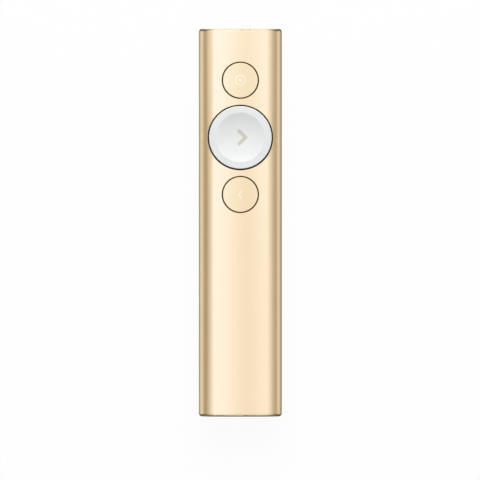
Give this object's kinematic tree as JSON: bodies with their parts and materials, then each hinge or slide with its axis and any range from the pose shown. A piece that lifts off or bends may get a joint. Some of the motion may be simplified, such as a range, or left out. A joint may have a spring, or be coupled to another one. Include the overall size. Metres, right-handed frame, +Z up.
{
  "type": "wireless presentation clicker",
  "caption": "Hand-held wireless presentation clicker: an aluminium sleeve with a large dished button between two small ones, and a USB receiver docked in the tail.",
  "frame": {"origin": "middle of the flat back, under the middle of the whole object", "axes": "+X across the width, +Y along the length towards the nose, +Z up through the buttons"},
  "size_m": [0.028, 0.1312, 0.0124],
  "materials": {
    "gold_aluminium": "satin champagne-gold anodised aluminium",
    "white_plastic": "smooth white plastic",
    "gold_inlay": "pale gold inlay",
    "end_plastic": "fine matt dark brown plastic",
    "frame_plastic": "black glass-filled plastic",
    "clear_plastic": "clear acrylic light pipe",
    "silicone": "translucent grey silicone",
    "spring_steel": "bright spring steel",
    "zinc_steel": "zinc-plated steel",
    "nickel_shell": "nickel-plated steel",
    "circuit_board": "green solder mask",
    "chip_black": "black chip packages",
    "chip_ceramic": "ceramic chip parts",
    "switch_plastic": "dark grey switch housings",
    "amber_film": "amber polyimide film",
    "pouch_foil": "silver pouch foil",
    "wire_red": "insulated wires",
    "connector_plastic": "natural connector plastic",
    "magnet_black": "sintered magnet",
    "gilt_brass": "gilt contacts",
    "led_white": "light-emitting diode",
    "foam_tape": "foam adhesive tape"
  },
  "bodies": {
    "casing": {"adhesive_pads": "foam_tape", "antenna": "chip_ceramic", "back_return_ring": "silicone", "back_snap_dome": "spring_steel", "back_switch_body": "switch_plastic", "battery_cell": "pouch_foil", "battery_circuit": "circuit_board", "battery_leads": "wire_red", "battery_plug": "connector_plastic", "battery_socket": "connector_plastic", "board_passives": "chip_ceramic", "board_screws": "zinc_steel", "body_sleeve": "gold_aluminium", "button_frame": "frame_plastic", "charger_chip": "chip_black", "chassis": "frame_plastic", "controller_chip": "chip_black", "dock_springs": "spring_steel", "light_pipe": "clear_plastic", "main_board": "circuit_board", "motion_sensor": "chip_black", "motor_base": "amber_film", "motor_case": "nickel_shell", "motor_magnet": "magnet_black", "motor_shaft": "spring_steel", "next_return_ring": "silicone", "next_snap_dome": "spring_steel", "next_switch_body": "switch_plastic", "nose_cap": "end_plastic", "pointer_return_ring": "silicone", "pointer_snap_dome": "spring_steel", "pointer_switch_body": "switch_plastic", "receiver_dock": "frame_plastic", "rf_shield": "nickel_shell", "ribbon_cable": "amber_film", "ribbon_connectors": "connector_plastic", "status_led": "led_white", "tail_bezel": "end_plastic", "tail_screws": "zinc_steel", "usb_board": "circuit_board", "usb_board_screws": "zinc_steel", "usb_socket_shell": "nickel_shell", "usb_socket_tongue": "chip_black"},
    "pointer_key": {"pointer_button": "gold_aluminium", "pointer_carrier": "frame_plastic", "pointer_switch_stem": "connector_plastic"},
    "next_key": {"next_button": "white_plastic", "next_button_mark": "gold_inlay", "next_carrier": "frame_plastic", "next_switch_stem": "connector_plastic"},
    "back_key": {"back_button": "gold_aluminium", "back_carrier": "frame_plastic", "back_switch_stem": "connector_plastic"},
    "receiver": {"receiver_board": "circuit_board", "receiver_case": "end_plastic", "receiver_contacts": "gilt_brass", "receiver_lid": "end_plastic", "receiver_plug_shell": "nickel_shell", "receiver_plug_tongue": "connector_plastic"},
    "rotor": {"motor_rotor": "gilt_brass"}
  },
  "joints": [
    {"name": "pointer_press", "type": "slide", "parent": "casing", "child": "pointer_key", "axis": [0, 0, -1], "range_m": [0, 0.00035], "stiffness_N_per_m": 3000, "springref_m": -0.0001, "deforming": ["pointer_return_ring", "pointer_snap_dome"]},
    {"name": "next_press", "type": "slide", "parent": "casing", "child": "next_key", "axis": [0, 0, -1], "range_m": [0, 0.0004], "stiffness_N_per_m": 3000, "springref_m": -0.0001, "deforming": ["next_return_ring", "next_snap_dome"]},
    {"name": "back_press", "type": "slide", "parent": "casing", "child": "back_key", "axis": [0, 0, -1], "range_m": [0, 0.00035], "stiffness_N_per_m": 3000, "springref_m": -0.0001, "deforming": ["back_return_ring", "back_snap_dome"]},
    {"name": "receiver_slide", "type": "slide", "parent": "casing", "child": "receiver", "axis": [0, -1, 0], "range_m": [0, 0.036]},
    {"name": "rotor_spin", "type": "hinge", "parent": "casing", "child": "rotor", "pos_m": [0, 0.022, 0.0035], "axis": [0, 0, 1], "continuous": true}
  ]
}
